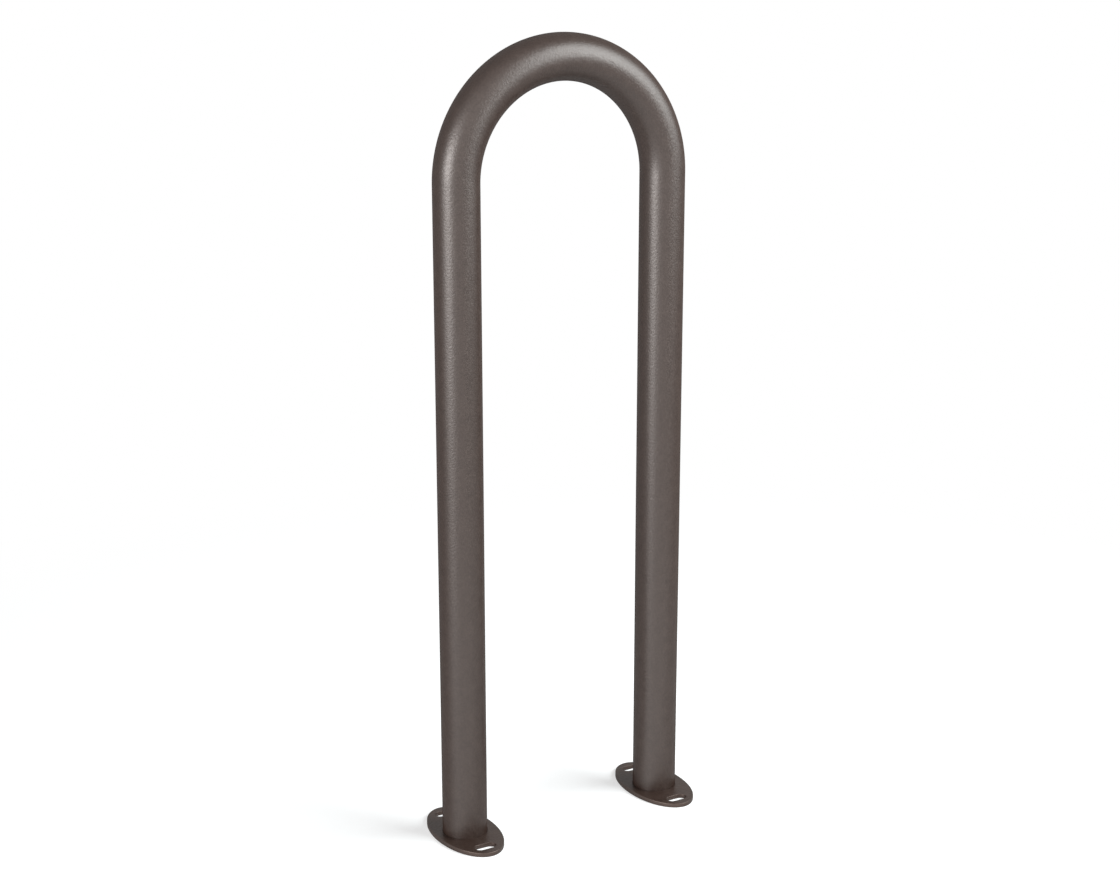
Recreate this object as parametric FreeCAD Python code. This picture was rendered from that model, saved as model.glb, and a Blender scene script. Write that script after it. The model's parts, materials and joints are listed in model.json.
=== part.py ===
import FreeCAD
import Part

import os

# Surface-mounted hoop bike rack: one length of round steel tube, bent into a narrow upright hoop.
# Each leg drops through the bore of an elliptical foot plate and is welded to it from underneath,
# so that the joint is clean on top. Each plate has two slots for its ground anchors.
# Frame, in millimetres: X runs from leg to leg, Y across the hoop, Z up from the ground.
# The origin is on the ground, midway between the legs.

# Hoop tube
tube_od = 50.8
tube_wall = 3.05
leg_spacing = 255.0         # between the legs' axes, and so twice the bend's centreline radius
overall_height = 890.0      # from the ground to the crown

# Foot plates
plate_thickness = 5.0
side_margin = 10.35         # flat beside the tube, towards the other leg and away from it
washer_room = 18.0          # flat between the tube and a slot, for a washer and a socket
tip_margin = 10.4           # metal left between a slot and the plate's tip
upper_edge_break = 0.6      # chamfer on the upper edge, all round

# Anchor slots, which run from leg to leg
slot_width = 12.7
slot_travel = 12.7          # between the centres of its round ends

# Welded joint of tube and plate
fit_gap = 0.2               # between the tube and the plate's bore, all round
groove_share = 0.6          # of the plate's thickness, taken by the weld groove in its underside
weld_recess = 0.3           # height of the weld's face above the ground

# Sizes that follow
tube_radius = tube_od / 2
tube_inner_radius = tube_radius - tube_wall
bend_radius = leg_spacing / 2
bend_height = overall_height - tube_radius - bend_radius
slot_spacing = tube_od + 2 * washer_room + slot_width
plate_length = slot_spacing + slot_width + 2 * tip_margin
plate_width = tube_od + 2 * side_margin
bore_radius = tube_radius + fit_gap
groove_depth = plate_thickness * groove_share
tube_end_height = (groove_depth + weld_recess) / 2

ORIGIN = FreeCAD.Vector(0, 0, 0)
ACROSS = FreeCAD.Vector(0, 1, 0)
UP = FreeCAD.Vector(0, 0, 1)
HALF_TURN = 180
FULL_TURN = 360


def hoop_bar(radius):
    """A solid round bar on the hoop's centreline, from the tube's cut ends up and over the crown."""
    leg_height = bend_height - tube_end_height
    left_leg = Part.makeCylinder(radius, leg_height, FreeCAD.Vector(-bend_radius, 0, tube_end_height))
    right_leg = Part.makeCylinder(radius, leg_height, FreeCAD.Vector(bend_radius, 0, tube_end_height))
    section = Part.makeCircle(radius, FreeCAD.Vector(-bend_radius, 0, bend_height), UP)
    bend_centre = FreeCAD.Vector(0, 0, bend_height)
    bend = Part.Face(Part.Wire(section)).revolve(bend_centre, ACROSS, HALF_TURN)
    return left_leg.fuse([bend, right_leg]).removeSplitter()


def hoop_tube():
    """The bent tube, open at both feet, where it drains."""
    return hoop_bar(tube_radius).cut(hoop_bar(tube_inner_radius))


def slot_cutter(centre_y):
    """A round-ended slot through the plate's thickness."""
    end_radius = slot_width / 2
    end_x = slot_travel / 2
    front_y = centre_y - end_radius
    back_y = centre_y + end_radius
    left_tip = FreeCAD.Vector(-end_x - end_radius, centre_y, 0)
    right_tip = FreeCAD.Vector(end_x + end_radius, centre_y, 0)
    front_left = FreeCAD.Vector(-end_x, front_y, 0)
    front_right = FreeCAD.Vector(end_x, front_y, 0)
    back_right = FreeCAD.Vector(end_x, back_y, 0)
    back_left = FreeCAD.Vector(-end_x, back_y, 0)
    outline = Part.Wire([
        Part.makeLine(front_left, front_right),
        Part.Arc(front_right, right_tip, back_right).toShape(),
        Part.makeLine(back_right, back_left),
        Part.Arc(back_left, left_tip, front_left).toShape(),
    ])
    return Part.Face(outline).extrude(UP * plate_thickness)


def foot_plate():
    """An elliptical plate about its leg's axis, bored for the tube and grooved underneath for the weld."""
    tip = FreeCAD.Vector(0, plate_length / 2, 0)
    side = FreeCAD.Vector(plate_width / 2, 0, 0)
    rim = Part.Ellipse(tip, side, ORIGIN).toShape()
    plate = Part.Face(Part.Wire(rim)).extrude(UP * plate_thickness)
    upper_edges = [edge for edge in plate.Edges if edge.BoundBox.ZMin > plate_thickness / 2]
    plate = plate.makeChamfer(upper_edge_break, upper_edges)
    bore = Part.makeCylinder(bore_radius, plate_thickness)
    groove = Part.makeCone(bore_radius + groove_depth, bore_radius, groove_depth)
    slots = [slot_cutter(end * slot_spacing / 2) for end in (-1, 1)]
    return plate.cut([bore, groove, *slots])


def foot_weld():
    """The weld ring: it fills the groove, laps the tube's cut end and stays just clear of the ground."""
    face_outer_r = bore_radius + groove_depth - weld_recess
    face_inner_r = tube_inner_radius + tube_end_height - weld_recess
    section = Part.makePolygon([
        FreeCAD.Vector(bore_radius, 0, groove_depth),
        FreeCAD.Vector(face_outer_r, 0, weld_recess),
        FreeCAD.Vector(face_inner_r, 0, weld_recess),
        FreeCAD.Vector(tube_inner_radius, 0, tube_end_height),
        FreeCAD.Vector(tube_radius, 0, tube_end_height),
        FreeCAD.Vector(tube_radius, 0, groove_depth),
        FreeCAD.Vector(bore_radius, 0, groove_depth),
    ])
    return Part.Face(section).revolve(ORIGIN, UP, FULL_TURN)


def main():
    parts = {"hoop_tube": hoop_tube()}
    for name, side in (("left", -1), ("right", 1)):
        leg_foot = FreeCAD.Vector(side * bend_radius, 0, 0)
        parts[name + "_foot_plate"] = foot_plate().translated(leg_foot)
        parts[name + "_foot_weld"] = foot_weld().translated(leg_foot)

    os.makedirs("parts", exist_ok=True)
    for name, shape in parts.items():
        print(name, "valid:", shape.isValid(), "solids:", len(shape.Solids), "mm3:", round(shape.Volume, 1))
        shape.exportStep("parts/" + name + ".step")


main()
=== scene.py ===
import json
import math

import bmesh
import bpy
from mathutils import Matrix, Vector


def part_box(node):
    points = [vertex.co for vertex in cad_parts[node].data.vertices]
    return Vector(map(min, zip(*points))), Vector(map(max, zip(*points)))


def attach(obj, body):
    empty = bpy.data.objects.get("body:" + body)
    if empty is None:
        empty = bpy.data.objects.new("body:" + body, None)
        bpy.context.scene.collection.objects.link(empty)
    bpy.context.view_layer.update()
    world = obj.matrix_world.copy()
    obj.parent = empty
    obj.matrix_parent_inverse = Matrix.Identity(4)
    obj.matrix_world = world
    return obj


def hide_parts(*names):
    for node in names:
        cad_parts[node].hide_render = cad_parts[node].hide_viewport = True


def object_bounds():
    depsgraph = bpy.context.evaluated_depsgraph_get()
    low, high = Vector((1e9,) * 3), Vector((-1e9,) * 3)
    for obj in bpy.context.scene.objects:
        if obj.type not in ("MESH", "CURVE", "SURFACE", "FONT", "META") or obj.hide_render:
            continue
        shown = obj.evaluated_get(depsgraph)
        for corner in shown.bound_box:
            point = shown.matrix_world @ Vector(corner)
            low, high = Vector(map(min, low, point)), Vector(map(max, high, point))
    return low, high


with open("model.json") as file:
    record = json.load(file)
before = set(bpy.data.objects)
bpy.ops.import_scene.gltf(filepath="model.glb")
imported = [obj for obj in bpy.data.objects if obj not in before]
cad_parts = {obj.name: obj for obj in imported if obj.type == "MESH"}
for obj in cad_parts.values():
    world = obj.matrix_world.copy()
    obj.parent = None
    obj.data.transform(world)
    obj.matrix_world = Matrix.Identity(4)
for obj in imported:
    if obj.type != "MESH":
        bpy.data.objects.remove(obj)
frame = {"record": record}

cad_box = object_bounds()
scene = bpy.context.scene
scene.view_settings.view_transform = "Standard"


# Camera
# It stands in front of the rack and to its left, at about the crown's height, and looks down a little.
# Its place, turn and lens come from fitting the hoop's and the plates' outlines in the photograph.
picture_width = 1120
picture_height = 889
focal_length_px = 1915.6
optical_centre_px = Vector((571.94, 466.97))
camera_place = Vector((-1.0318, -1.7890, 0.9728))
camera_azimuth = math.radians(-30.277)
camera_elevation = math.radians(15.099)
camera_roll = math.radians(0.107)

camera = bpy.data.objects.new("camera", bpy.data.cameras.new("camera"))
camera.data.lens = camera.data.sensor_width * focal_length_px / picture_width
camera.data.shift_x = (picture_width / 2 - optical_centre_px.x) / picture_width
camera.data.shift_y = (optical_centre_px.y - picture_height / 2) / picture_width
upright = Matrix.Rotation(math.pi / 2 - camera_elevation, 4, "X")
turn = Matrix.Rotation(camera_azimuth, 4, "Z")
roll = Matrix.Rotation(camera_roll, 4, "Z")
camera.matrix_world = Matrix.Translation(camera_place) @ turn @ upright @ roll
scene.collection.objects.link(camera)
scene.camera = camera


# Floor and light
# A plain pale studio floor that keeps the rack's soft shadow, and runs white into a white backdrop.
# A large soft lamp stands low on the left, one nearer on the right and one above that, and a dim white
# room fills in the rest.
floor_half_width = 60.0
floor_colour = "#c4c4c4"
floor_glow = 0.58           # added to the floor's own light where it is seen directly
shadow_radius = 0.4         # the floor is plain paper this far from the rack's middle,
white_radius = 1.4          # and white from here on
white = "#ffffff"
cool_white = "#f7feff"
white_strength = 1.0
room_strength = 0.11


def linear(hex_colour):
    """An sRGB hex colour as Blender's linear red, green, blue and alpha."""
    shares = [int(hex_colour[i:i + 2], 16) / 255 for i in (1, 3, 5)]
    return [s / 12.92 if s <= 0.04045 else ((s + 0.055) / 1.055) ** 2.4 for s in shares] + [1.0]


def add(tree, kind, settings=(), inputs=()):
    """Adds a node with its settings. An input is given a value, a socket, or a node, whose first output
    is linked."""
    node = tree.nodes.new(kind)
    for name, value in dict(settings).items():
        setattr(node, name, value)
    for name, value in dict(inputs).items():
        if isinstance(value, bpy.types.Node):
            value = value.outputs[0]
        if isinstance(value, bpy.types.NodeSocket):
            tree.links.new(value, node.inputs[name])
        else:
            node.inputs[name].default_value = value
    return node


def bare_tree(owner):
    """The emptied node tree of a material or a world."""
    owner.use_nodes = True
    owner.node_tree.nodes.clear()
    return owner.node_tree


def seen_directly(tree):
    """1 on rays from the camera, a reflection or a clear material, and 0 on light that falls on the rack."""
    rays = add(tree, "ShaderNodeLightPath").outputs
    bounced = add(tree, "ShaderNodeMath", {"operation": "MAXIMUM"}, {
        0: rays["Is Glossy Ray"], 1: rays["Is Transmission Ray"]})
    return add(tree, "ShaderNodeMath", {"operation": "MAXIMUM"}, {0: rays["Is Camera Ray"], 1: bounced})


scene.world = bpy.data.worlds.new("white_studio")
tree = bare_tree(scene.world)
room = add(tree, "ShaderNodeBackground", inputs={"Color": linear(white), "Strength": room_strength})
backdrop = add(tree, "ShaderNodeBackground", inputs={"Color": linear(white), "Strength": white_strength})
studio = add(tree, "ShaderNodeMixShader", inputs={0: seen_directly(tree), 1: room, 2: backdrop})
add(tree, "ShaderNodeOutputWorld", inputs={"Surface": studio})

studio_paper = bpy.data.materials.new("studio_paper")
tree = bare_tree(studio_paper)
seen = seen_directly(tree)
paper = add(tree, "ShaderNodeBsdfDiffuse", inputs={"Color": linear(floor_colour)})
glow_strength = add(tree, "ShaderNodeMath", {"operation": "MULTIPLY"}, {0: seen, 1: floor_glow})
glow = add(tree, "ShaderNodeEmission", inputs={"Strength": glow_strength})
lit_paper = add(tree, "ShaderNodeAddShader", inputs={0: paper, 1: glow})
place = add(tree, "ShaderNodeTexCoord").outputs["Object"]
distance = add(tree, "ShaderNodeVectorMath", {"operation": "LENGTH"}, {0: place}).outputs["Value"]
far_share = add(tree, "ShaderNodeMapRange", {"interpolation_type": "SMOOTHSTEP"}, {
    "Value": distance, "From Min": shadow_radius, "From Max": white_radius, "To Max": seen})
white_out = add(tree, "ShaderNodeEmission", inputs={"Strength": white_strength})
fading_out = add(tree, "ShaderNodeMixShader", inputs={0: far_share, 1: lit_paper, 2: white_out})
add(tree, "ShaderNodeOutputMaterial", inputs={"Surface": fading_out})

floor_mesh = bpy.data.meshes.new("floor")
floor_mesh.from_pydata(
    [(x * floor_half_width, y * floor_half_width, 0) for x, y in ((-1, -1), (1, -1), (1, 1), (-1, 1))],
    [], [(0, 1, 2, 3)])
floor_mesh.materials.append(studio_paper)
floor = bpy.data.objects.new("floor", floor_mesh)
scene.collection.objects.link(floor)


def soft_lamp(name, azimuth, elevation, distance, width, height, watts, colour):
    """A rectangular soft lamp that faces the middle of the rack. Its azimuth and elevation, in degrees,
    say where it shines from: 0 is the front, 90 the right and -90 the left."""
    lamp = bpy.data.objects.new(name, bpy.data.lights.new(name, "AREA"))
    lamp.data.shape = "RECTANGLE"
    lamp.data.size = width
    lamp.data.size_y = height
    lamp.data.energy = watts
    lamp.data.color = linear(colour)[:3]
    azimuth, elevation = math.radians(azimuth), math.radians(elevation)
    level = math.cos(elevation)
    towards = Vector((math.sin(azimuth) * level, -math.cos(azimuth) * level, math.sin(elevation)))
    lamp.location = (cad_box[0] + cad_box[1]) / 2 + towards * distance
    lamp.rotation_euler = towards.to_track_quat("Z", "Y").to_euler()
    scene.collection.objects.link(lamp)


soft_lamp("left_lamp", azimuth=-73, elevation=7, distance=5.0, width=2.8, height=2.8, watts=284, colour=white)
soft_lamp(
    "right_lamp", azimuth=54, elevation=24, distance=2.1, width=1.9, height=1.0, watts=65, colour=cool_white)
soft_lamp(
    "top_lamp", azimuth=47, elevation=44, distance=3.0, width=2.0, height=1.0, watts=65, colour=cool_white)


# Hoop tube
# One length of 2 in round steel tube, bent half a turn on a mandrel and cut square at both feet.
# It is blasted and powder coated after welding. Its outer sizes are read from the frame, in metres.
tube_low, tube_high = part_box("hoop_tube")
tube_radius = tube_high.y
tube_wall = 0.00305
leg_spacing = 2 * (tube_high.x - tube_radius)
bend_height = tube_high.z - tube_high.x
leg_ring_spacing = 0.015
bend_rings = 121
tube_sides = 96
line_merge_distance = 0.0001
wall_merge_distance = 0.00001
crease_angle = math.radians(50)     # an edge that turns by more is shaded sharp

coat_dark = "#2c201b"
coat_light = "#372b26"
grain_width = 0.0022
grain_height = 0.085 * grain_width
drift_width = 0.009
tone_spread = 0.32          # how far grain and drift together go to each side of their mean
grain_range = (0.3, 0.7)    # nearly all of the grain's values lie between these,
coat_roughness = (0.36, 0.44)    # and the roughness follows them
sheen_level = 1.0           # where the coat faces the eye
sheen_falloff = 0.82
sheen_tint = "#fff9f6"


def powder_coat(name, falloff=sheen_falloff, tint=sheen_tint):
    """Fine-texture polyester powder coat, sprayed dry and baked: dark bronze with a low sheen.
    The baked powder leaves a grain of tiny bumps that breaks the sheen up into a soft sparkle,
    and slight drifts of thickness that shift its tone. The real grain is about 0.4 mm across.
    It is drawn about five times coarser, because the render wouldn't show it otherwise."""
    material = bpy.data.materials.new(name)
    tree = bare_tree(material)
    place = add(tree, "ShaderNodeTexCoord").outputs["Object"]
    grain = add(tree, "ShaderNodeTexNoise", inputs={"Vector": place, "Scale": 1 / grain_width, "Detail": 1.0})
    drift = add(tree, "ShaderNodeTexNoise", inputs={"Vector": place, "Scale": 1 / drift_width, "Detail": 4.0})
    tone = add(tree, "ShaderNodeMath", {"operation": "ADD"}, {0: grain, 1: drift})
    tone_share = add(tree, "ShaderNodeMapRange", inputs={
        "Value": tone, "From Min": 1 - tone_spread, "From Max": 1 + tone_spread})
    colour = add(tree, "ShaderNodeValToRGB", inputs={"Fac": tone_share})
    colour.color_ramp.elements[0].color = linear(coat_dark)
    colour.color_ramp.elements[1].color = linear(coat_light)
    roughness = add(tree, "ShaderNodeMapRange", inputs={
        "Value": grain, "From Min": grain_range[0], "From Max": grain_range[1],
        "To Min": coat_roughness[0], "To Max": coat_roughness[1]})
    bump = add(tree, "ShaderNodeBump", inputs={
        "Strength": 1.0, "Distance": grain_height, "Height": grain})
    turned_away = add(tree, "ShaderNodeLayerWeight", inputs={"Blend": falloff}).outputs["Facing"]
    sheen = add(tree, "ShaderNodeMapRange", inputs={
        "Value": turned_away, "To Min": sheen_level, "To Max": 0.0})
    coat = add(tree, "ShaderNodeBsdfPrincipled", inputs={
        "Base Color": colour, "Metallic": 0.0, "Roughness": roughness, "IOR": 1.5, "Normal": bump,
        "Specular IOR Level": sheen, "Specular Tint": linear(tint)})
    add(tree, "ShaderNodeOutputMaterial", inputs={"Surface": coat})
    return material


def size_inputs(tree, floats, counts, geometries=()):
    """Gives a Geometry Nodes tree its output and its named inputs, and returns the inputs."""
    for socket_type, names in (
            ("NodeSocketGeometry", geometries),
            ("NodeSocketFloat", floats),
            ("NodeSocketInt", counts),
            ("NodeSocketMaterial", ("Material",))):
        for name in names:
            tree.interface.new_socket(name, in_out="INPUT", socket_type=socket_type)
    tree.interface.new_socket("Geometry", in_out="OUTPUT", socket_type="NodeSocketGeometry")
    return add(tree, "NodeGroupInput").outputs


def end_tree(tree, shape, material):
    """Ends a Geometry Nodes tree: the shape, made real, in its material."""
    whole = add(tree, "GeometryNodeRealizeInstances", inputs={"Geometry": shape})
    coated = add(tree, "GeometryNodeSetMaterial", inputs={"Geometry": whole, "Material": material})
    add(tree, "NodeGroupOutput", inputs={"Geometry": coated})


def grown(name, tree, sizes, section=None):
    """Runs a Geometry Nodes tree with these sizes and keeps what it makes as a piece with a plain mesh.
    Its faces are shaded smooth between its creases."""
    piece = bpy.data.objects.new(name, section or bpy.data.meshes.new(name))
    scene.collection.objects.link(piece)
    shape = piece.modifiers.new("shape", "NODES")
    shape.node_group = tree
    for socket in tree.interface.items_tree:
        if socket.in_out == "INPUT" and socket.name in sizes:
            shape[socket.identifier] = sizes[socket.name]
    depsgraph = bpy.context.evaluated_depsgraph_get()
    mesh = bpy.data.meshes.new_from_object(piece.evaluated_get(depsgraph), depsgraph=depsgraph)
    piece.modifiers.remove(shape)
    if mesh.materials[0] is None:       # shells joined before they get a material leave an empty slot
        mesh.materials.pop(index=0)
    mesh.shade_smooth()
    mesh.set_sharp_from_angle(angle=crease_angle)
    piece.data = mesh
    return piece


bent_tube = bpy.data.node_groups.new("bent_tube", "GeometryNodeTree")
given = size_inputs(
    bent_tube,
    floats=("Leg spacing", "Foot height", "Bend height", "Tube radius", "Wall", "Leg ring spacing"),
    counts=("Bend rings", "Sides"))
bend_radius = add(bent_tube, "ShaderNodeMath", {"operation": "DIVIDE"}, {0: given["Leg spacing"], 1: 2.0})


def leg_line(side, from_height, to_height):
    """A leg's centreline between two heights. The side is -1 for the left leg and 1 for the right."""
    leg_x = add(bent_tube, "ShaderNodeMath", {"operation": "MULTIPLY"}, {0: bend_radius, 1: side})
    start = add(bent_tube, "ShaderNodeCombineXYZ", inputs={"X": leg_x, "Z": from_height})
    end = add(bent_tube, "ShaderNodeCombineXYZ", inputs={"X": leg_x, "Z": to_height})
    line = add(bent_tube, "GeometryNodeCurvePrimitiveLine", inputs={"Start": start, "End": end})
    return add(bent_tube, "GeometryNodeResampleCurve", {"mode": "LENGTH"}, {
        "Curve": line, "Length": given["Leg ring spacing"]})


half_round = add(bent_tube, "GeometryNodeCurveArc", {"mode": "RADIUS"}, {
    "Resolution": given["Bend rings"], "Radius": bend_radius,
    "Start Angle": math.pi, "Sweep Angle": -math.pi})
bend_place = add(bent_tube, "ShaderNodeCombineXYZ", inputs={"Z": given["Bend height"]})
bend_line = add(bent_tube, "GeometryNodeTransform", inputs={
    "Geometry": half_round, "Translation": bend_place, "Rotation": (math.pi / 2, 0, 0)})
stretches = add(bent_tube, "GeometryNodeJoinGeometry")
for stretch in (
        leg_line(-1, given["Foot height"], given["Bend height"]),
        bend_line,
        leg_line(1, given["Bend height"], given["Foot height"])):
    bent_tube.links.new(stretch.outputs[0], stretches.inputs[0])
loose_line = add(bent_tube, "GeometryNodeCurveToMesh", inputs={"Curve": stretches})
joined_line = add(bent_tube, "GeometryNodeMergeByDistance", inputs={
    "Geometry": loose_line, "Distance": line_merge_distance})
centreline = add(bent_tube, "GeometryNodeMeshToCurve", inputs={"Mesh": joined_line})
round_section = add(bent_tube, "GeometryNodeCurvePrimitiveCircle", inputs={
    "Resolution": given["Sides"], "Radius": given["Tube radius"]})
outside = add(bent_tube, "GeometryNodeCurveToMesh", inputs={
    "Curve": centreline, "Profile Curve": round_section})
inwards = add(bent_tube, "ShaderNodeMath", {"operation": "MULTIPLY"}, {0: given["Wall"], 1: -1.0})
bore_and_ends = add(bent_tube, "GeometryNodeExtrudeMesh", inputs={
    "Mesh": outside, "Offset Scale": inwards, "Individual": False})
turned_in = add(bent_tube, "GeometryNodeFlipFaces", inputs={"Mesh": bore_and_ends})
wall_shells = add(bent_tube, "GeometryNodeJoinGeometry")
for shell in (outside, turned_in):
    bent_tube.links.new(shell.outputs[0], wall_shells.inputs[0])
closed_wall = add(bent_tube, "GeometryNodeMergeByDistance", inputs={
    "Geometry": wall_shells, "Distance": wall_merge_distance})
end_tree(bent_tube, closed_wall, given["Material"])

hoop = grown("bent_hoop", bent_tube, {
    "Leg spacing": leg_spacing, "Foot height": tube_low.z, "Bend height": bend_height,
    "Tube radius": tube_radius, "Wall": tube_wall, "Leg ring spacing": leg_ring_spacing,
    "Bend rings": bend_rings, "Sides": tube_sides,
    "Material": powder_coat("powder_coat_on_tube")})
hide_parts("hoop_tube")
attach(hoop, "root")


# Foot plates
# Two flat ellipses, laser cut from 5 mm steel plate, with a bore for the leg and two slots for ground
# anchors. Their edges are broken to a light radius, and the coat covers them with the rest of the rack.
upper_edge_round = 0.0006
lower_edge_round = 0.0003
slot_edge_round = 0.0004
bore_edge_round = 0.0002
flat_blend = 0.0003         # the flat strip beside a rounded edge, in which its smooth shading ends
rim_steps = 256
bore_steps = 128
slot_end_steps = 24
edge_steps = 5
edge_angles = [math.pi / 2 * step / edge_steps for step in range(edge_steps + 1)]
plate_crease_angle = math.radians(35)

slot_sizes = next(mount["dims"] for mount in frame["record"]["mounts"] if mount["name"] == "anchor_slots")
mm = 0.001
slot_radius = slot_sizes["hole_r_mm"] * mm
slot_end_x = slot_sizes["slot_length_mm"] * mm / 2 - slot_radius
slot_centre_y = slot_sizes["spacing_y_mm"] * mm / 2

# A plate lies flat and mirrors the studio at a low angle, so its sheen is set lower and warmer.
plate_sheen_falloff = 0.75
plate_sheen_tint = "#ffe8de"


def lower_edge(rounding):
    """The section of a plate's rounded lower edge, from its underside up: how far in from the outline,
    and how high."""
    section = [(rounding + flat_blend, 0)]
    for angle in edge_angles:
        section.append((rounding * (1 - math.sin(angle)), rounding * (1 - math.cos(angle))))
    return section


def upper_edge(rounding, thickness):
    """The section of a plate's rounded upper edge, on up to its top."""
    section = []
    for angle in edge_angles:
        section.append((rounding * (1 - math.cos(angle)), thickness - rounding * (1 - math.sin(angle))))
    return section + [(rounding + flat_blend, thickness)]


def elliptical_rim(half_width, half_length):
    """The plate's outline: each point's place and the direction into the metal."""
    outline = []
    for step in range(rim_steps):
        angle = math.tau * step / rim_steps
        slope = Vector((half_length * math.cos(angle), half_width * math.sin(angle))).normalized()
        outline.append((half_width * math.cos(angle), half_length * math.sin(angle), -slope.x, -slope.y))
    return outline


def round_hole(radius, steps, arcs):
    """A hole's outline, as the rim's, from arcs of one radius. An arc is its centre's x and y and the
    angles of its first and last point."""
    outline = []
    for x, y, from_angle, to_angle in arcs:
        for step in range(steps):
            angle = from_angle + (to_angle - from_angle) * step / (steps - 1)
            into_x, into_y = math.cos(angle), math.sin(angle)
            outline.append((x + radius * into_x, y + radius * into_y, into_x, into_y))
    return outline


def foot_plate(side):
    """A flat plate with a rounded rim, two slots, and a bore with the weld's groove under it."""
    low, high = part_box(side + "_foot_plate")
    weld_low, weld_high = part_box(side + "_foot_weld")
    centre_x = (low.x + high.x) / 2
    thickness = high.z
    groove_depth = weld_high.z
    bore_radius = (weld_high.x - weld_low.x) / 2 + weld_low.z - groove_depth
    full_circle = (0, 0, 0, math.tau * (1 - 1 / bore_steps))     # its last point is one step from its first
    rim = elliptical_rim((high.x - low.x) / 2, high.y)
    bore = round_hole(bore_radius, bore_steps, [full_circle])
    groove = [(groove_depth, 0), (0, groove_depth)]
    edges = [
        (rim, lower_edge(lower_edge_round) + upper_edge(upper_edge_round, thickness)),
        (bore, groove + upper_edge(bore_edge_round, thickness))]
    for y in (-slot_centre_y, slot_centre_y):
        slot = round_hole(slot_radius, slot_end_steps, [
            (slot_end_x, y, -math.pi / 2, math.pi / 2), (-slot_end_x, y, math.pi / 2, 3 * math.pi / 2)])
        edges.append((slot, lower_edge(lower_edge_round) + upper_edge(slot_edge_round, thickness)))

    shell = bmesh.new()
    for outline, section in edges:
        rings = []
        for inset, z in section:
            rings.append([
                shell.verts.new((centre_x + x + into_x * inset, y + into_y * inset, z))
                for x, y, into_x, into_y in outline])
        for lower, upper in zip(rings, rings[1:]):
            for i in range(len(outline)):
                shell.faces.new((lower[i - 1], lower[i], upper[i], upper[i - 1]))
    for height in (0, thickness):
        rims = [e for e in shell.edges if e.is_boundary and abs(e.verts[0].co.z - height) < thickness / 2]
        bmesh.ops.triangle_fill(shell, use_beauty=True, edges=rims)
    bmesh.ops.recalc_face_normals(shell, faces=shell.faces)

    mesh = bpy.data.meshes.new(side + "_plate")
    shell.to_mesh(mesh)
    shell.free()
    mesh.shade_smooth()
    mesh.set_sharp_from_angle(angle=plate_crease_angle)
    mesh.materials.append(
        powder_coat("powder_coat_on_" + side + "_plate", plate_sheen_falloff, plate_sheen_tint))
    plate = bpy.data.objects.new(side + "_plate", mesh)
    scene.collection.objects.link(plate)
    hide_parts(side + "_foot_plate")
    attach(plate, "root")


for side in ("left", "right"):
    foot_plate(side)


# Foot welds
# One pass of weld metal round each leg, laid in the plate's groove from underneath before blasting.
# It laps the tube's cut end and stops short of the ground. Its ripples and the crater where the pass
# ends show through the coat.
ripple_pitch = 0.0031
ripple_height = 0.00022
bead_crown = 0.00025
crater_depth = 0.0004
crater_tightness = 300.0    # a higher value makes a shorter crater
pass_end_angles = {"left": 2.4, "right": 0.9}
bead_face_points = 11
steps_per_ripple = 8


def bead_section(outer_radius, face_height, bore_radius, root_height):
    """The bead's section, from its outer toe over the face to the tube's wall and up the groove.
    X is the way out from the tube's outside and Y the way down. Its points carry two marks: on_face is 1
    on the face and 0 elsewhere, and across runs over the face from 1 at the outer toe to -1."""
    inner_radius = tube_radius - tube_wall
    inner_toe = inner_radius + tube_low.z - face_height
    points = []
    for step in range(bead_face_points):
        across = 1 - 2 * step / (bead_face_points - 1)
        radius = inner_toe + (outer_radius - inner_toe) * (across + 1) / 2
        points.append((radius, face_height, 1.0, across))
    for radius, height in (
            (inner_radius, tube_low.z),
            (tube_radius, tube_low.z),
            (tube_radius, root_height),
            (bore_radius, root_height)):
        points.append((radius, height, 0.0, 0.0))
    radii, heights, on_face, across = zip(*points)
    mesh = bpy.data.meshes.new("bead_section")
    mesh.from_pydata(
        [(radius - tube_radius, -height, 0) for radius, height in zip(radii, heights)],
        [(i, (i + 1) % len(points)) for i in range(len(points))], [])
    for name, values in (("on_face", on_face), ("across", across)):
        mesh.attributes.new(name, "FLOAT", "POINT").data.foreach_set("value", values)
    return mesh


weld_bead = bpy.data.node_groups.new("weld_bead", "GeometryNodeTree")
given = size_inputs(
    weld_bead,
    geometries=("Section",),
    floats=(
        "Leg X", "Tube radius", "Ripple height", "Crown", "Crater depth", "Crater tightness", "End angle"),
    counts=("Ripples", "Steps"))
section_line = add(weld_bead, "GeometryNodeMeshToCurve", inputs={"Mesh": given["Section"]})
way_round = add(weld_bead, "GeometryNodeCurvePrimitiveCircle", inputs={
    "Resolution": given["Steps"], "Radius": given["Tube radius"]})
ring = add(weld_bead, "GeometryNodeCurveToMesh", inputs={"Curve": way_round, "Profile Curve": section_line})
position = add(weld_bead, "GeometryNodeInputPosition")
spot = add(weld_bead, "ShaderNodeSeparateXYZ", inputs={0: position}).outputs
angle = add(weld_bead, "ShaderNodeMath", {"operation": "ARCTAN2"}, {0: spot["Y"], 1: spot["X"]})
on_face, across = [
    add(weld_bead, "GeometryNodeInputNamedAttribute", {"data_type": "FLOAT"}, {"Name": mark})
    for mark in ("on_face", "across")]

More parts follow.
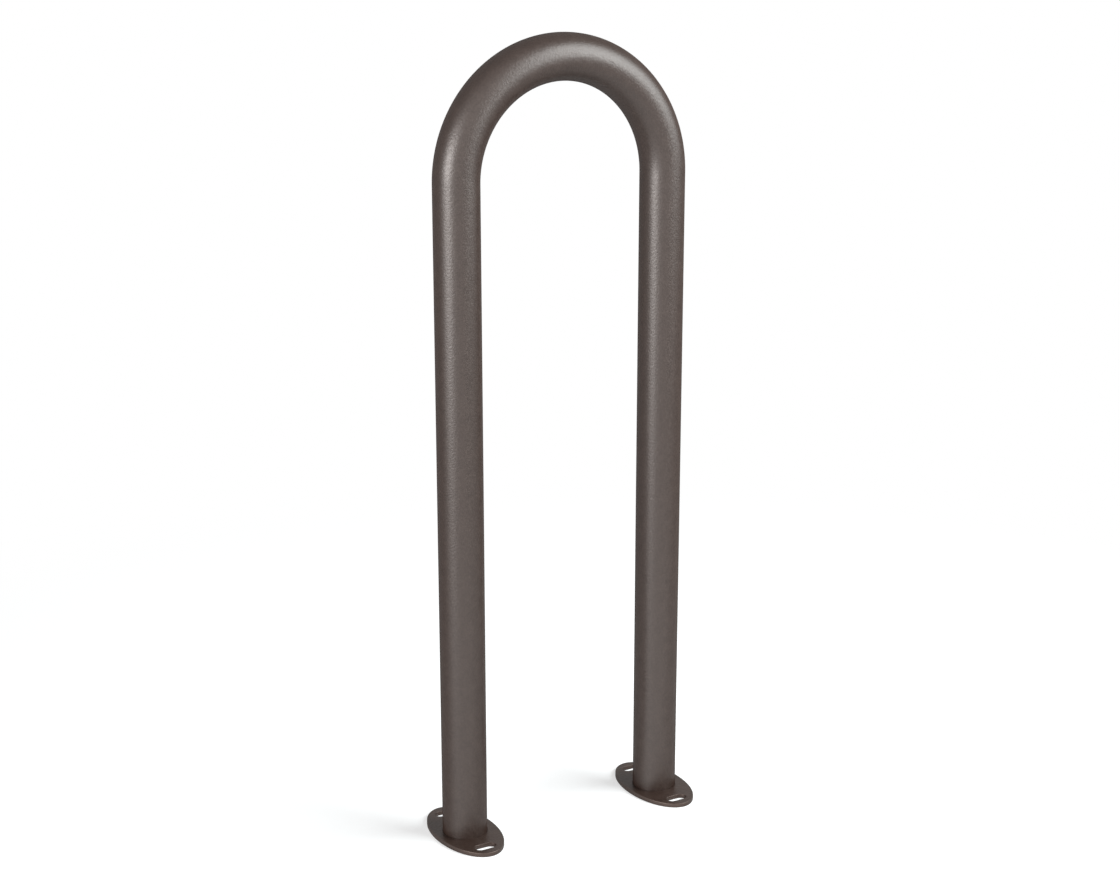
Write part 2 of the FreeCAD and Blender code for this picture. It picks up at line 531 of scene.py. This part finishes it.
# The ripples, which curve round towards the bead's toes
bow = add(weld_bead, "ShaderNodeMath", {"operation": "MULTIPLY"}, {0: across, 1: across})
way = add(weld_bead, "ShaderNodeMath", {"operation": "MULTIPLY"}, {0: angle, 1: given["Ripples"]})
phase = add(weld_bead, "ShaderNodeMath", {"operation": "MULTIPLY_ADD"}, {0: bow, 1: math.tau, 2: way})
wave = add(weld_bead, "ShaderNodeMath", {"operation": "SINE"}, {0: phase})
dip = add(weld_bead, "ShaderNodeMath", {"operation": "MULTIPLY_ADD"}, {0: wave, 1: 0.5, 2: 0.5})
ripple = add(weld_bead, "ShaderNodeMath", {"operation": "MULTIPLY"}, {0: dip, 1: given["Ripple height"]})

# The crater, a round dent where the pass ends
past_end = add(weld_bead, "ShaderNodeMath", {"operation": "SUBTRACT"}, {0: angle, 1: given["End angle"]})
nearness = add(weld_bead, "ShaderNodeMath", {"operation": "COSINE"}, {0: past_end})
this_side = add(weld_bead, "ShaderNodeMath", {"operation": "MAXIMUM"}, {0: nearness, 1: 0.0})
at_end = add(weld_bead, "ShaderNodeMath", {"operation": "POWER"}, {
    0: this_side, 1: given["Crater tightness"]})
mid_face = add(weld_bead, "ShaderNodeMath", {"operation": "SUBTRACT"}, {0: 1.0, 1: bow})
dent = add(weld_bead, "ShaderNodeMath", {"operation": "MULTIPLY"}, {0: at_end, 1: mid_face})
crater = add(weld_bead, "ShaderNodeMath", {"operation": "MULTIPLY"}, {0: dent, 1: given["Crater depth"]})

# The crown, from which the face curves back to its toes
crowned = add(weld_bead, "ShaderNodeMath", {"operation": "MULTIPLY_ADD"}, {
    0: bow, 1: given["Crown"], 2: ripple})
pressed_in = add(weld_bead, "ShaderNodeMath", {"operation": "ADD"}, {0: crowned, 1: crater})
lift = add(weld_bead, "ShaderNodeMath", {"operation": "MULTIPLY"}, {0: pressed_in, 1: on_face})
offset = add(weld_bead, "ShaderNodeCombineXYZ", inputs={"Z": lift})
shaped = add(weld_bead, "GeometryNodeSetPosition", inputs={"Geometry": ring, "Offset": offset})
leg_place = add(weld_bead, "ShaderNodeCombineXYZ", inputs={"X": given["Leg X"]})
under_leg = add(weld_bead, "GeometryNodeTransform", inputs={"Geometry": shaped, "Translation": leg_place})
end_tree(weld_bead, under_leg, given["Material"])

for side in ("left", "right"):
    weld_low, weld_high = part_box(side + "_foot_weld")
    outer_radius = (weld_high.x - weld_low.x) / 2
    bore_radius = outer_radius + weld_low.z - weld_high.z
    ripples = round(math.tau * tube_radius / ripple_pitch)
    bead = grown(side + "_weld_bead", weld_bead, {
        "Leg X": (weld_low.x + weld_high.x) / 2, "Tube radius": tube_radius, "Ripple height": ripple_height,
        "Crown": bead_crown, "Crater depth": crater_depth, "Crater tightness": crater_tightness,
        "End angle": pass_end_angles[side], "Ripples": ripples, "Steps": ripples * steps_per_ripple,
        "Material": powder_coat("powder_coat_on_" + side + "_weld", plate_sheen_falloff, plate_sheen_tint)},
        section=bead_section(outer_radius, weld_low.z, bore_radius, weld_high.z))
    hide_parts(side + "_foot_weld")
    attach(bead, "root")
